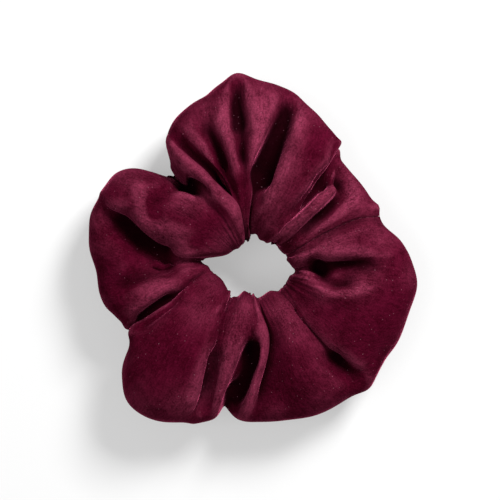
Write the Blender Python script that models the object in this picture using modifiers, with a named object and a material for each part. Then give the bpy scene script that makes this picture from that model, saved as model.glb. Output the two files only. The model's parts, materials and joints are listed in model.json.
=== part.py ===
"""Velvet scrunchie lying flat on a table: a gathered velvet tube round a loop of elastic.

The velvet is one strip, sewn along its length into a tube (the long seam) and joined end to end
(the closing seam). The elastic runs loose inside the tube, along its inner side, so it can travel
all the way round. Each seam is a lockstitch, which has a needle thread and a bobbin thread.

Metres, +Z up. The object rests on Z = 0, and the origin is the middle of its footprint.
Sections of the tube are described by a turn: 0 at the hole, a quarter on top, a half at the outer
rim and three quarters underneath.
"""

import math
from collections import namedtuple

import bmesh
import bpy
from mathutils import Vector

MM = 0.001

# Elastic loop, relaxed
ELASTIC_RADIUS = 21.5 * MM  # middle of the band, measured from the ring axis
ELASTIC_WIDTH = 6.0 * MM  # the band stands on edge, so this is its height
ELASTIC_THICKNESS = 1.2 * MM
ELASTIC_LAP = 12.0 * MM  # length of band over which its two ends lie on each other
LAP_RAMP = 9.0 * MM  # length over which the outer end steps out on to the inner one
ELASTIC_STEP = 1.8 * MM  # length of one straight facet of the band

# Velvet tube
TUBE_REACH = 36.5 * MM  # middle of the elastic to the outer rim, on average
HOLE_INSET = 8.5 * MM  # middle of the elastic to the edge of the hole, on average
MID_HEIGHT = 15.0 * MM  # height of the elastic above the table
CREST_HEIGHT = 32.0 * MM  # height of an average gather above the table
SINK = 2.5 * MM  # how far the soft underside would sag below the table if it were not there
WALL = 1.6 * MM  # velvet, ground cloth and pile together
UNDERSIDE_DEPTH = 0.6  # creases' depth underneath, as a share of their depth on top
SHOULDER = 0.78  # how much of a gather's swell is left half way from its crest to its crease
SECTION_POINTS = 18  # steps round one section of the tube

# Seams
SEAM_REACH = 6.5 * MM  # middle of the elastic to the long seam, which runs underneath
SEAM_RISE = 2.0 * MM  # inside of the wall to the line of stitches through the raw edges
SEAM_ALLOWANCE = 2.4 * MM  # line of stitches to the raw edges
THREAD = 0.5 * MM  # diameter of the sewing threads
ZIGZAG_WIDTH = 4.0 * MM  # of the stitch that joins the ends of the elastic
ZIGZAG_PITCH = 1.2 * MM  # length of one stroke of that stitch, along the band
CLOSING_TURNS = (0.09, 0.42)  # where the closing seam's stitches start and end on the top side
CLOSING_STITCHES = 14

CLEARANCE = 0.3 * MM  # between pieces that touch
THREAD_SEAT = 0.9 * MM  # closing seam's thread above the bottom of its crease

# One row for each gather, anticlockwise from the closing seam: its crest, and the crease after it.
# Angles are degrees round the ring axis. The rest are millimetres, added to the average rim and
# crest height; depth is how far the crease lies below the crests. The last crease is the seam.
Gather = namedtuple("Gather", "crest rim rise crease crease_rim depth")
GATHERS = (
    Gather(29.0, -8.2, -3.0, 38.0, -9.3, 7.0),
    Gather(44.0, -8.4, -3.0, 50.5, -8.0, 8.0),
    Gather(64.0, 1.2, 1.5, 78.0, 6.0, 9.0),
    Gather(85.5, 8.2, 0.5, 92.5, 9.6, 8.0),
    Gather(98.0, 7.4, 0.0, 104.0, 4.5, 6.0),
    Gather(111.0, 2.2, -1.5, 118.5, -2.0, 6.0),
    Gather(124.0, -6.5, 0.5, 130.5, -20.0, 5.0),
    Gather(146.0, -1.0, 1.5, 157.0, 1.0, 8.0),
    Gather(174.0, -2.2, -3.5, 193.0, -4.3, 7.0),
    Gather(201.0, -7.2, -1.5, 209.0, -10.6, 8.0),
    Gather(233.0, 6.7, 1.5, 251.0, 1.2, 8.0),
    Gather(255.5, -1.2, -2.0, 259.5, -7.2, 7.0),
    Gather(270.0, -2.3, -0.5, 277.0, -2.9, 7.0),
    Gather(296.0, -0.4, 0.0, 315.5, 2.2, 7.0),
    Gather(343.0, 1.2, 1.0, 365.0, -0.9, 6.0),
    Gather(373.0, -5.0, -1.5, 382.0, -8.2, 7.5),
)

# The edge of the hole: degrees round the ring axis, and millimetres from its average radius.
HOLE_EDGE = (
    (22.0, 0.3),
    (57.0, -2.7),
    (82.0, -1.2),
    (95.0, -4.0),
    (125.0, -5.5),
    (150.0, -4.6),
    (164.0, -1.0),
    (175.0, 3.6),
    (188.0, -0.6),
    (210.0, -2.0),
    (243.0, -0.8),
    (262.0, -3.3),
    (285.0, -0.9),
    (318.0, 0.5),
    (350.0, 3.4),
)

VELVET = ("velvet", (0.105, 0.006, 0.024), 0.85)
ELASTIC = ("braided_elastic", (0.55, 0.53, 0.50), 0.75)
COVER_THREAD = ("cover_thread", (0.13, 0.010, 0.030), 0.60)
ELASTIC_THREAD = ("elastic_thread", (0.70, 0.68, 0.64), 0.60)

Station = namedtuple("Station", "angle rim crest depth")


def start_empty():
    """Removes the objects of the scene."""
    for obj in list(bpy.data.objects):
        bpy.data.objects.remove(obj)


def collection(name):
    """A new collection in the scene."""
    made = bpy.data.collections.new(name)
    bpy.context.scene.collection.children.link(made)
    return made


def material(name, colour, roughness):
    """A plain Principled material."""
    made = bpy.data.materials.get(name)
    if made is None:
        made = bpy.data.materials.new(name)
        made.use_nodes = True
        shader = made.node_tree.nodes["Principled BSDF"]
        shader.inputs["Base Color"].default_value = (*colour, 1.0)
        shader.inputs["Roughness"].default_value = roughness
        shader.inputs["Metallic"].default_value = 0.0
    return made


def add(obj, group, parent, finish):
    """Puts an object in a collection, under its parent, with its material."""
    for holder in list(obj.users_collection):
        holder.objects.unlink(obj)
    group.objects.link(obj)
    obj.parent = parent
    obj.data.materials.append(material(*finish))
    return obj


def axis_empty(name, group, place, parent=None):
    """An empty that holds the pieces of one body, on that body's axis."""
    empty = bpy.data.objects.new(name, None)
    group.objects.link(empty)
    empty.parent = parent
    empty.location = place
    return empty


def smooth(share):
    """Eases a share from 0 to 1 with no slope at either end."""
    return share * share * (3 - 2 * share)


def round_the_ring(angle, table):
    """The value of a closed table of (degrees, value) at an angle, eased between its points."""
    turn = (angle - table[0][0]) % 360.0 + table[0][0]
    rows = (*table, (table[0][0] + 360.0, table[0][1]))
    for (low, first), (high, last) in zip(rows, rows[1:]):
        if turn <= high:
            return first + (last - first) * smooth((turn - low) / (high - low))
    return rows[-1][1]


def stations():
    """Four sections for each gather, from one side of the closing seam round to the other."""
    mean_rim = ELASTIC_RADIUS + TUBE_REACH
    last = GATHERS[-1]
    before = Station(last.crease - 360.0, mean_rim + last.crease_rim * MM, None, last.depth * MM)
    made = [before]
    for gather in GATHERS:
        crest = Station(gather.crest, mean_rim + gather.rim * MM, CREST_HEIGHT + gather.rise * MM, 0.0)
        after = Station(gather.crease, mean_rim + gather.crease_rim * MM, None, gather.depth * MM)
        made += [shoulder(before, crest), crest, shoulder(after, crest), after]
        before = after
    crests = [s.crest for s in made]
    for i, station in enumerate(made):
        if station.crest is None:  # a crease is measured down from the crests on both sides of it
            beside = crests[i - 1] if i else crests[-2], crests[i + 1] if i + 1 < len(made) else crests[1]
            made[i] = station._replace(crest=sum(beside) / 2)
    return made


def shoulder(crease, crest):
    """The section half way between a crease and a crest."""
    return Station(
        (crease.angle + crest.angle) / 2,
        crease.rim + (crest.rim - crease.rim) * SHOULDER,
        crest.crest,
        crease.depth * (1 - SHOULDER),
    )


def section_shape(station):
    """Middle and half width of a section of the tube, measured from the ring axis."""
    hole = ELASTIC_RADIUS - HOLE_INSET + round_the_ring(station.angle, HOLE_EDGE) * MM
    return (hole + station.rim) / 2, (station.rim - hole) / 2


def seam_turn(station):
    """Where the long seam crosses a section."""
    middle, half = section_shape(station)
    return 1.0 - math.acos((middle - ELASTIC_RADIUS - SEAM_REACH) / half) / (2 * math.pi)


def cover_point(station, turn, lifted=0.0):
    """A point of the velvet's outer face, or one lifted off it, from the ring axis."""
    across, up = -math.cos(2 * math.pi * turn), math.sin(2 * math.pi * turn)
    middle, half = section_shape(station)
    depth = station.depth * ((1 + across) ** 0.8 if across < 0 else abs(up) ** 0.5)
    if up >= 0:
        rise = (station.crest - MID_HEIGHT) * up**0.85 - depth
    else:
        rise = UNDERSIDE_DEPTH * depth - (MID_HEIGHT + SINK) * abs(up) ** 0.8
    normal = Vector((across / half, up / (station.crest - MID_HEIGHT))).normalized()
    radius = middle + half * across + lifted * normal.x
    height = max(0.0, MID_HEIGHT + rise) + lifted * normal.y
    turned = math.radians(station.angle)
    return Vector((radius * math.cos(turned), radius * math.sin(turned), height))


def ring_axis():
    """Where the ring axis stands, so that the footprint's middle is the origin."""
    rim = [cover_point(station, 0.5) for station in stations()]
    middle = [(min(p[k] for p in rim) + max(p[k] for p in rim)) / 2 for k in (0, 1)]
    return Vector((-middle[0], -middle[1], 0.0))


def seam_ends():
    """The sections with the two at the closing seam drawn back, so that the tube's ends clear."""
    made = stations()
    turned = math.degrees(CLEARANCE / 2 / (ELASTIC_RADIUS - HOLE_INSET))
    made[0] = made[0]._replace(angle=made[0].angle + turned)
    made[-1] = made[-1]._replace(angle=made[-1].angle - turned)
    return made


def seam_point(section, inside, aside=0.0):
    """A point of the long seam, that far in from the velvet's outer face and to one side."""
    foot = cover_point(section, seam_turn(section))
    outwards = Vector((foot.x, foot.y, 0.0)).normalized()
    return foot + outwards * aside + Vector((0.0, 0.0, inside))


def strip_across(section):
    """The velvet strip's outer face, from one raw edge round the tube to the other."""
    gap = CLEARANCE / 2
    edge = (WALL + SEAM_RISE + SEAM_ALLOWANCE, WALL + SEAM_RISE, 0.0)
    outer = [seam_point(section, inside, gap) for inside in edge]
    inner = [seam_point(section, inside, -gap) for inside in reversed(edge)]
    turn = seam_turn(section)
    round_it = [
        cover_point(section, (turn - i / SECTION_POINTS) % 1.0) for i in range(1, SECTION_POINTS)
    ]
    return [*outer, *round_it, *inner]


def velvet_cover(group, parent):
    """The velvet tube: a torus drawn into gathers, opened along both its seams, with its wall."""
    sections = seam_ends()
    across = len(strip_across(sections[0]))
    bpy.ops.mesh.primitive_torus_add(
        major_segments=len(sections),
        minor_segments=across,
        major_radius=ELASTIC_RADIUS + TUBE_REACH / 2,
        minor_radius=TUBE_REACH / 2,
    )
    cover = bpy.context.active_object
    cover.name = "velvet_cover"
    shape = bmesh.new()
    shape.from_mesh(cover.data)
    shape.verts.ensure_lookup_table()
    rings = [shape.verts[i * across : (i + 1) * across] for i in range(len(sections))]
    for section, ring in zip(sections, rings):
        for vertex, place in zip(ring, strip_across(section)):
            vertex.co = place
    closing = {*rings[0], *rings[-1]}
    raw_edges = {v for ring in rings for v in (ring[0], ring[-1])}
    opening = [
        f for f in shape.faces if closing.issuperset(f.verts) or raw_edges.issuperset(f.verts)
    ]
    bmesh.ops.delete(shape, geom=opening, context="FACES_ONLY")
    shape.to_mesh(cover.data)
    shape.free()
    wall = cover.modifiers.new("wall", "SOLIDIFY")
    wall.thickness = WALL
    wall.offset = -1.0
    return add(cover, group, parent, VELVET)


def thread(name, points, group, parent, finish):
    """A sewing thread along a line of points."""
    curve = bpy.data.curves.new(name, "CURVE")
    curve.dimensions = "3D"
    line = curve.splines.new("POLY")
    line.points.add(len(points) - 1)
    for place, point in zip(line.points, points):
        place.co = (*point, 1.0)
    curve.bevel_depth = THREAD / 2
    curve.bevel_resolution = 1
    curve.use_fill_caps = True
    return add(bpy.data.objects.new(name, curve), group, parent, finish)


def long_seam_threads(group, parent):
    """The needle and bobbin threads of the long seam, one on each side of its raw edges."""
    aside = WALL + 2 * CLEARANCE + THREAD / 2
    rows = seam_ends()[2:-2]
    for name, side in (("needle", 1), ("bobbin", -1)):
        points = [seam_point(section, WALL + SEAM_RISE, side * aside) for section in rows]
        thread(f"long_seam_{name}_thread", points, group, parent, COVER_THREAD)


def closing_seam_threads(group, parent):
    """The needle thread on top of the closing seam, and the bobbin thread under it."""
    seam = stations()[0]
    start, end = CLOSING_TURNS
    turns = [start + (end - start) * i / CLOSING_STITCHES for i in range(CLOSING_STITCHES + 1)]
    for name, side in (("needle", 1), ("bobbin", -1)):
        points = [cover_point(seam, side * turn % 1.0, THREAD_SEAT) for turn in turns]
        thread(f"closing_seam_{name}_thread", points, group, parent, COVER_THREAD)


def elastic_radius(length):
    """Radius of the band's middle, that far along it: it steps out on to its own other end."""
    ramp_end = 2 * math.pi * ELASTIC_RADIUS
    share = min(1.0, max(0.0, 1 - (ramp_end - length) / LAP_RAMP))
    return ELASTIC_RADIUS + (ELASTIC_THICKNESS + CLEARANCE) * smooth(share)


def elastic_point(length, height=0.0, outwards=0.0):
    """A point of the elastic, that far along it, from the ring axis."""
    angle = length / ELASTIC_RADIUS
    radius = elastic_radius(length) + outwards
    return Vector((radius * math.cos(angle), radius * math.sin(angle), MID_HEIGHT + height))


def elastic_band(group, parent):
    """The flat braided band: a ribbon bent round once and lapped over itself."""
    long = 2 * math.pi * ELASTIC_RADIUS + ELASTIC_LAP
    steps = round(long / ELASTIC_STEP)
    curve = bpy.data.curves.new("elastic_band", "CURVE")
    curve.dimensions = "3D"
    line = curve.splines.new("POLY")
    line.points.add(steps)
    for i, place in enumerate(line.points):
        place.co = (*elastic_point(long * i / steps), 1.0)
    curve.extrude = ELASTIC_WIDTH / 2
    band = bpy.data.objects.new("elastic_band", curve)
    thickness = band.modifiers.new("thickness", "SOLIDIFY")
    thickness.thickness = ELASTIC_THICKNESS
    thickness.offset = 0.0
    return add(band, group, parent, ELASTIC)


def elastic_threads(group, parent):
    """The zigzag stitch through the lapped ends, with a thread on each face of the lap."""
    strokes = int(ELASTIC_LAP * 0.8 / ZIGZAG_PITCH)
    seat = ELASTIC_THICKNESS / 2 + CLEARANCE + THREAD / 2
    turn = 2 * math.pi * ELASTIC_RADIUS
    margin = (ELASTIC_LAP - strokes * ZIGZAG_PITCH) / 2
    for name, start, side in (("needle", turn, 1), ("bobbin", 0.0, -1)):
        points = [
            elastic_point(
                start + margin + i * ZIGZAG_PITCH,
                ZIGZAG_WIDTH / 2 * (-1) ** i,
                side * seat,
            )
            for i in range(strokes + 1)
        ]
        thread(f"elastic_{name}_thread", points, group, parent, ELASTIC_THREAD)


def main():
    """Builds the scrunchie."""
    start_empty()
    group = collection("scrunchie")
    cover_axis = axis_empty("cover_axis", group, ring_axis())
    elastic_axis = axis_empty("elastic_axis", group, (0.0, 0.0, 0.0), cover_axis)
    velvet_cover(group, cover_axis)
    long_seam_threads(group, cover_axis)
    closing_seam_threads(group, cover_axis)
    elastic_band(group, elastic_axis)
    elastic_threads(group, elastic_axis)


main()
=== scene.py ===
"""Velvet scrunchie lying flat: a gathered velvet tube round a loop of elastic, as it looks.

The velvet is one strip of cloth. Its folds are laid out as gathers, each a rounded swell between
two creases, and grooves, ridges and puckers are then worked into the cloth. The elastic, its
zigzag stitch and the stitches of both seams are modelled inside and on it.

Metres, +Z up. A section of the tube is walked by a turn: 0 at the hole, a quarter on top, a half
at the outer rim and three quarters underneath. Across the top, a share runs from 0 at the hole to
1 at the rim. Angles are degrees round the ring axis, anticlockwise from +X.
"""

from __future__ import annotations

import json
import logging
import math
from dataclasses import dataclass, field
from enum import Enum

import bpy
import numpy as np
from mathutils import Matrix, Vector

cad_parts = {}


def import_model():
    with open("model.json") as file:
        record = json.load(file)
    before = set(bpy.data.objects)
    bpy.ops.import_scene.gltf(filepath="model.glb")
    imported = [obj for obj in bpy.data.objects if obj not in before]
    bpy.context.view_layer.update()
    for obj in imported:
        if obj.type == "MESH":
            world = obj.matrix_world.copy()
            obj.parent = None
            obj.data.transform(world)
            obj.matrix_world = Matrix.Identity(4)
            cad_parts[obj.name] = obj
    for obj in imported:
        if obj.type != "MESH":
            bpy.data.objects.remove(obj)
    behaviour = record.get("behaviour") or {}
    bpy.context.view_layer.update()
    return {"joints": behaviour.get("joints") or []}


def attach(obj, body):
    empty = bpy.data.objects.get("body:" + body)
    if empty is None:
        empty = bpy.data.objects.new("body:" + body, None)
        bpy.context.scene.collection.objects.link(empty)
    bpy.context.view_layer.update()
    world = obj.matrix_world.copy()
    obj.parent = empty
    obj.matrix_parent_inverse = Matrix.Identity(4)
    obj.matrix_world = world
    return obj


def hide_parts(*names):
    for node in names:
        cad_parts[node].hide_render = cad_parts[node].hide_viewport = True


log = logging.getLogger("scrunchie")

MM = 0.001
Colour = tuple[float, float, float, float]


# ------------------------------------------------------------------------------ small helpers


def deselect_all() -> None:
    """Leaves nothing selected."""
    for obj in bpy.context.selected_objects:
        obj.select_set(False)


def eased(share: np.ndarray | float) -> np.ndarray | float:
    """Eases a share from 0 to 1, with no slope at either end."""
    share = np.clip(share, 0.0, 1.0)
    return share * share * (3 - 2 * share)


def through(values: tuple[float, ...], share: np.ndarray) -> np.ndarray:
    """A smooth curve through evenly spaced values.

    Args:
        values: The curve's values from share 0 to share 1.
        share: Where to read it.

    Returns:
        The curve at each share.
    """
    known = np.asarray(values, float)
    place = np.clip(share, 0.0, 1.0) * (len(known) - 1)
    low = np.clip(place.astype(int), 0, len(known) - 2)
    t = place - low
    before = known[np.clip(low - 1, 0, None)]
    first, last = known[low], known[low + 1]
    after = known[np.clip(low + 2, None, len(known) - 1)]
    slope_in, slope_out = (last - before) / 2, (after - first) / 2
    return (
        first * (1 + 2 * t) * (1 - t) ** 2
        + slope_in * t * (1 - t) ** 2
        + last * t * t * (3 - 2 * t)
        - slope_out * t * t * (1 - t)
    )


def mesh_object(name: str, points: np.ndarray, faces: list[tuple[int, ...]]) -> bpy.types.Object:
    """A new mesh object in the scene.

    Args:
        name: The object's name.
        points: One row of x, y and z for each vertex, in metres.
        faces: The vertices of each face.

    Returns:
        The object, at the origin.
    """
    mesh = bpy.data.meshes.new(name)
    mesh.from_pydata([tuple(p) for p in points], [], faces)
    mesh.update()
    obj = bpy.data.objects.new(name, mesh)
    bpy.context.scene.collection.objects.link(obj)
    return obj


# ------------------------------------------------------------------------------ how the folds lie


@dataclass(frozen=True)
class Crease:
    """The valley between two gathers, at five places from the hole to the rim.

    Attributes:
        angle: Where its bottom runs, in degrees.
        depth: How deep it is, in millimetres.
        lap: How far a gather lies over its neighbour there, in millimetres. It is positive where
            the gather before it covers the one after it, and negative the other way.
        soft: 0 where the gathers meet in a sharp crease, 1 where they run into each other.
    """

    angle: tuple[float, ...]
    depth: tuple[float, ...]
    lap: tuple[float, ...] = (0.0, 0.0, 0.0, 0.0, 0.0)
    soft: float = 0.0


@dataclass(frozen=True)
class Gather:
    """A swell of cloth, and the crease after it.

    Attributes:
        name: What it is called here.
        angle: Where its crest runs, in degrees, at five places from the hole to the rim.
        rim: How far its crest reaches from the ring axis, in millimetres.
        rise: How far its crest stands above the average, in millimetres, at those five places.
        after: The crease after it.
    """

    name: str
    angle: tuple[float, ...]
    rim: float
    rise: tuple[float, ...]
    after: Crease


GATHERS = (
    Gather(
        "beside the seam",
        (27, 30, 31, 31.5, 31),
        49.6,
        (0, -1, -2, -2, 0),
        Crease((38, 38.5, 37.5, 39.5, 41.5), (1.5, 4, 5, 4, 0.6), (0, -1, -1.6, -1.2, 0)),
    ),
    Gather(
        "short roll",
        (39.5, 43, 44, 46.5, 48),
        49.6,
        (0, 1.5, 2.5, -1, 0),
        Crease((41, 47.5, 51, 53, 54), (3, 6, 7, 9, 5.2), (-1, -1.2, -1.4, -1.6, -1.6)),
    ),
    Gather(
        "upper right",
        (65, 65, 63.5, 64, 66),
        59.8,
        (0, 0.5, 1, 1, 0),
        Crease((91, 84, 76, 75, 76.5), (6, 9, 10.5, 7, -0.9), (0, 0.6, 0.8, 0.3, 0)),
    ),
    Gather(
        "top right",
        (91.8, 88.5, 86, 85, 86),
        66.0,
        (-2, -2, 0, 0.5, 0),
        Crease((92.5, 93.3, 93.5, 93, 93.5), (2, 2.5, 4, 7, -1.6), (0, -0.3, -0.8, -0.8, 0)),
    ),
    Gather(
        "top left",
        (93.3, 96, 98.6, 99, 99),
        65.4,
        (-2, -2, -0.5, 0, 0),
        Crease((94, 99, 104, 105, 105), (2, 3, 5.5, 4, 0.6), (0, -0.2, -0.6, -0.3, 0)),
    ),
    Gather(
        "sunk at the top",
        (94.8, 101.5, 108.5, 112, 112.5),
        59.8,
        (-3, -3, -3, -1.5, 0),
        Crease((95.5, 102, 111.5, 119.5, 121), (4, 7, 8, 6, 2), (-0.5, -1.2, -2, -1.8, -0.5)),
    ),
    Gather(
        "notch right",
        (100, 106, 114.5, 120, 121.5),
        53.8,
        (0, 0.5, 1, 0.5, 0),
        Crease((118, 120, 126, 130, 130.5), (0, 1, 6, 13, 18.2), soft=0.2),
    ),
    Gather(
        "notch left",
        (140, 143, 147, 151, 153),
        58.8,
        (0, 0.5, 1.5, 1.5, 0),
        Crease((174, 173.5, 166, 159.5, 156), (1, 7, 9.5, 6, 0), (0, 1.2, 3, 2.2, 0.3)),
    ),
    Gather(
        "sunk at the left",
        (176, 177, 177, 174, 170),
        57.0,
        (-1, -5.5, -6, -2.5, 0),
        Crease((178, 181, 187.5, 192.5, 196), (1, 5.5, 6, 4, 0.6), (0, 0, -0.8, -1.2, -0.3)),
    ),
    Gather(
        "lower left wedge",
        (184, 191, 197.5, 201, 202),
        50.2,
        (-1, -2, -1.5, -1, 0),
        Crease((191, 204, 208.5, 209.5, 210), (2, 5, 8, 9, 10), (-0.4, -1.0, -1.6, -1.2, -0.3)),
    ),
    Gather(
        "lower left",
        (215, 224, 228, 230, 232),
        65.0,
        (0, 0.5, 1.5, 1.5, 0),
        Crease((243, 244.5, 246, 247.5, 250.5), (2, 4, 6, 8.5, 1.6), (0.6, 1.2, 1.6, 1.4, 0.3)),
    ),
    Gather(
        "loop, left side",
        (259, 258, 258.5, 257, 255),
        56.8,
        (0, 0, -0.5, -1, 0),
        Crease((273, 273, 271, 266.5, 260.5), (0, 1.5, 8.5, 9, 5.6), (0, 0, 0.8, 0.8, 0)),
    ),
    Gather(
        "loop, right side",
        (279.5, 280, 275.5, 270.3, 268),
        55.4,
        (0, 0.5, 0.5, 0, 0),
        Crease((284, 285, 279, 274, 273), (2, 6, 8, 8, 1.6), (0.6, 1.2, 1.8, 1.4, 0.3)),
    ),
    Gather(
        "bottom",
        (302, 302, 298, 298, 305),
        59.0,
        (0, 0, 0, 0, 0),
        Crease((321, 318, 317, 316.5, 315.5), (1.5, 4, 5, 6, -1.0), (-0.5, -1.2, -1.6, -1.5, 0)),
    ),
    Gather(
        "lower right",
        (342, 343, 343, 343, 345),
        59.4,
        (0, 0, 0.5, 1, 0),
        Crease((359, 364, 364.5, 364, 363), (1, 6, 5, 2, 0), (0, -1.6, -1.6, -0.5, 0)),
    ),
    Gather(
        "right",
        (366, 372, 373, 372, 368),
        55.8,
        (0, 0, 0, -0.5, 0),
        Crease((374, 381, 383, 383, 380), (1.5, 3, 4, 4, 3), soft=0.5),
    ),
)

# The edge of the hole: degrees, and millimetres from the ring axis.
HOLE_EDGE = (
    (22, 13.2),
    (40, 12.2),
    (57, 10.2),
    (80, 11.8),
    (95, 8.4),
    (125, 7.3),
    (150, 8.4),
    (164, 11.4),
    (170, 12.4),
    (176, 16.4),
    (181, 14.6),
    (188, 11.6),
    (205, 11.0),
    (243, 12.3),
    (262, 9.6),
    (285, 12.2),
    (300, 11.8),
    (322, 13.9),
    (350, 16.6),
)


@dataclass(frozen=True)
class Groove:
    """A local hollow or ridge of the top side along a line.

    Attributes:
        line: x and y of each point of the line, in millimetres.
        depth: How far the cloth goes in, in millimetres. It is negative for a ridge.
        left: How wide its slope is on the left of the line, in millimetres.
        right: How wide its slope is on the right.
    """

    line: tuple[tuple[float, float], ...]
    depth: float
    left: float
    right: float


GROOVES = (
    # Between the lobes at the top.
    Groove(((13.4, 49), (10.6, 42), (7.8, 35), (5.2, 29), (3.4, 24)), 4.4, 2.0, 3.4),
    Groove(((4.0, 26), (3.0, 21), (2.2, 16)), 2.2, 1.0, 1.6),
    Groove(((-5.2, 56), (-5.4, 48), (-4.8, 42)), 4.4, 1.9, 1.5),
    Groove(((-4.8, 41), (-4.0, 35), (-3.0, 29.5)), 2.2, 1.2, 1.0),
    Groove(((-16, 42), (-13.6, 39), (-11.2, 33.5), (-9.6, 28)), 3.0, 1.5, 2.8),
    # The edge that comes down from the notch to the hole.
    Groove(((-29, 36), (-18, 27), (-11, 19.5), (-6, 13)), -1.3, 2.0, 3.0),
    Groove(((-25, 37), (-14, 27.5), (-8, 20)), 1.6, 2.4, 1.4),
    # The fold that hooks round from the notch, and the bowl beside it.
    Groove(((-24.5, 23), (-19.8, 21.2), (-16.0, 20.0)), 3.8, 2.2, 1.8),
    Groove(((-28, 20.8), (-33, 18.8), (-35.6, 15.2), (-34.6, 10.5)), 3.8, 2.8, 1.4),
    Groove(((-31, 19.4), (-25.5, 19.2), (-20.5, 17.0)), -1.8, 1.5, 1.5),
    Groove(((-31.5, 15.5), (-28, 11.0), (-21, 10.0)), 1.5, 3.4, 3.0),
    Groove(((-38.6, 20.5), (-39.5, 15), (-37.0, 8.0)), -1.2, 2.6, 2.6),
    Groove(((-41, 14.5), (-35.5, 7.6), (-27, 3.2), (-20, 0.6)), 1.5, 2.6, 1.8),
    # The dark ground left of the hole, and under the two edges below it.
    Groove(((-45, 9), (-38, 2), (-30, -3.5)), 3.4, 4.6, 6.0),
    Groove(((-46, -13.5), (-37, -9), (-29, -4)), 2.2, 4.0, 1.5),
    Groove(((-40, -25.5), (-34, -21.5), (-28, -17.5)), 3.0, 1.6, 3.4),
    # Beside the lower left lobe, and inside the loop at the bottom.
    Groove(((-13, -37), (-14.6, -44), (-16.2, -55)), 3.0, 2.4, 1.4),
    Groove(((-13, -22), (-15.5, -32), (-18.5, -42), (-21, -51)), -1.2, 3.0, 3.0),
    Groove(((0.6, -33.5), (-1.8, -40), (-5.0, -48), (-8.0, -58)), 4.6, 2.6, 2.2),
    # The edge across the lower right, and the pocket above it.
    Groove(((28.5, -37), (33, -41.5), (37, -45)), 2.4, 1.5, 3.4),
    Groove(((21.5, -5.2), (24, -9.0), (27.5, -11.5), (32, -11)), 3.6, 2.6, 2.0),
    Groove(((19, -9.5), (22.5, -13.0), (28, -15.6), (34, -15.2), (38, -13)), -1.7, 1.5, 3.2),
    Groove(((17, -5.5), (25, -3.2), (38, -2.4), (46, -3.6)), -1.7, 3.0, 1.1),
    Groove(((23, -6.6), (31, -5.2), (41, -5.6)), 1.5, 1.2, 2.4),
    # The short roll, the edge over it and the hollow beyond its tip.
    Groove(((11, 4.0), (17, 10.5), (23.5, 16.5), (28.0, 19.3)), -2.8, 2.4, 2.4),
    Groove(((30.8, 35), (27, 27), (21.5, 19.5), (14, 10.8)), 2.6, 1.4, 1.4),
    Groove(((31.5, 28), (31.3, 20), (26.5, 12.8), (18, 5.6)), 3.6, 1.8, 1.8),
    Groove(((24.5, 22.2), (28.0, 23.6), (31.0, 23.2)), 3.0, 2.2, 1.3),
    # The closing seam.
    Groove(((22, 3.5), (28, 6.5), (36, 10), (44, 13.2)), 1.4, 1.6, 1.6),
)


@dataclass(frozen=True)
class BrushedAndLitSpot:
    """A spot of the top side with painted light, where the pile is also brushed lighter.

    Attributes:
        x: Where it is, in millimetres.
        y: Where it is, in millimetres.
        reach: How far it fades out over, in millimetres.
        light: How light it is, from 0 to 1.
    """

    x: float
    y: float
    reach: float
    light: float


# Spots of painted light on the top side, where the pile is also brushed lighter.
BRUSHED_AND_LIT_SPOTS = (
    # The gathers at the top.
    BrushedAndLitSpot(3, 52, 7, 0.75),
    BrushedAndLitSpot(-1, 44, 5, 0.70),
    BrushedAndLitSpot(4, 38, 5, 0.60),
    BrushedAndLitSpot(1, 29, 4, 0.50),
    BrushedAndLitSpot(14, 43, 4, 0.60),
    BrushedAndLitSpot(20, 49, 6, 0.45),
    BrushedAndLitSpot(-15, 47, 7, 0.50),
    BrushedAndLitSpot(-10, 41, 4, 0.45),
    BrushedAndLitSpot(8, 17, 6, 0.55),
    BrushedAndLitSpot(6, 8, 4, 0.50),
    BrushedAndLitSpot(13, 27, 5, 0.35),
    # Left of the hole.
    BrushedAndLitSpot(-22, 16.5, 5, 0.80),
    BrushedAndLitSpot(-16, 18, 4, 0.40),
    BrushedAndLitSpot(-4, 6, 5, 0.65),
    BrushedAndLitSpot(-10, 1, 4, 0.50),
    BrushedAndLitSpot(-23, -5, 3, 0.60),
    BrushedAndLitSpot(-34, -11, 5, 0.30),
    BrushedAndLitSpot(-40, 26, 7, 0.35),
    BrushedAndLitSpot(-54, 10, 5, 0.45),
    # Right of the hole.
    BrushedAndLitSpot(35, 26, 6, 0.55),
    BrushedAndLitSpot(37, 15, 7, 0.60),
    BrushedAndLitSpot(44, 4, 6, 0.55),
    BrushedAndLitSpot(20, 8, 5, 0.65),
    BrushedAndLitSpot(27, 3, 6, 0.60),
    BrushedAndLitSpot(18, -2, 4, 0.65),
    BrushedAndLitSpot(18, -9, 3, 0.50),
    BrushedAndLitSpot(24, -14.5, 4, 0.60),
    BrushedAndLitSpot(36, -12.5, 5, 0.55),
    BrushedAndLitSpot(41, -8.5, 5, 0.40),
    BrushedAndLitSpot(56, -8, 4, 0.45),
    # The gathers at the bottom.
    BrushedAndLitSpot(10, -20.5, 5, 0.70),
    BrushedAndLitSpot(15, -27, 6, 0.50),
    BrushedAndLitSpot(24, -34, 6, 0.30),
    BrushedAndLitSpot(-2, -20, 4, 0.60),
    BrushedAndLitSpot(-4, -26, 5, 0.45),
    BrushedAndLitSpot(-13, -11, 5, 0.45),
    BrushedAndLitSpot(-18, -22, 6, 0.50),
    BrushedAndLitSpot(-12, -38, 4, 0.55),
    BrushedAndLitSpot(-16, -48, 4, 0.60),
    BrushedAndLitSpot(-24, -54, 6, 0.65),
    BrushedAndLitSpot(-37, -56, 5, 0.50),
    BrushedAndLitSpot(8, -59, 5, 0.45),
    BrushedAndLitSpot(26, -54, 6, 0.30),
)


@dataclass(frozen=True)
class Nudge:
    """A small shift of the outline, where a gather bulges or is held back.

    Attributes:
        angle: Where it is, in degrees.
        outward: How far it moves the cloth from the ring axis, in millimetres.
        width: Half of its width, in degrees.
    """

    angle: float
    outward: float
    width: float


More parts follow.
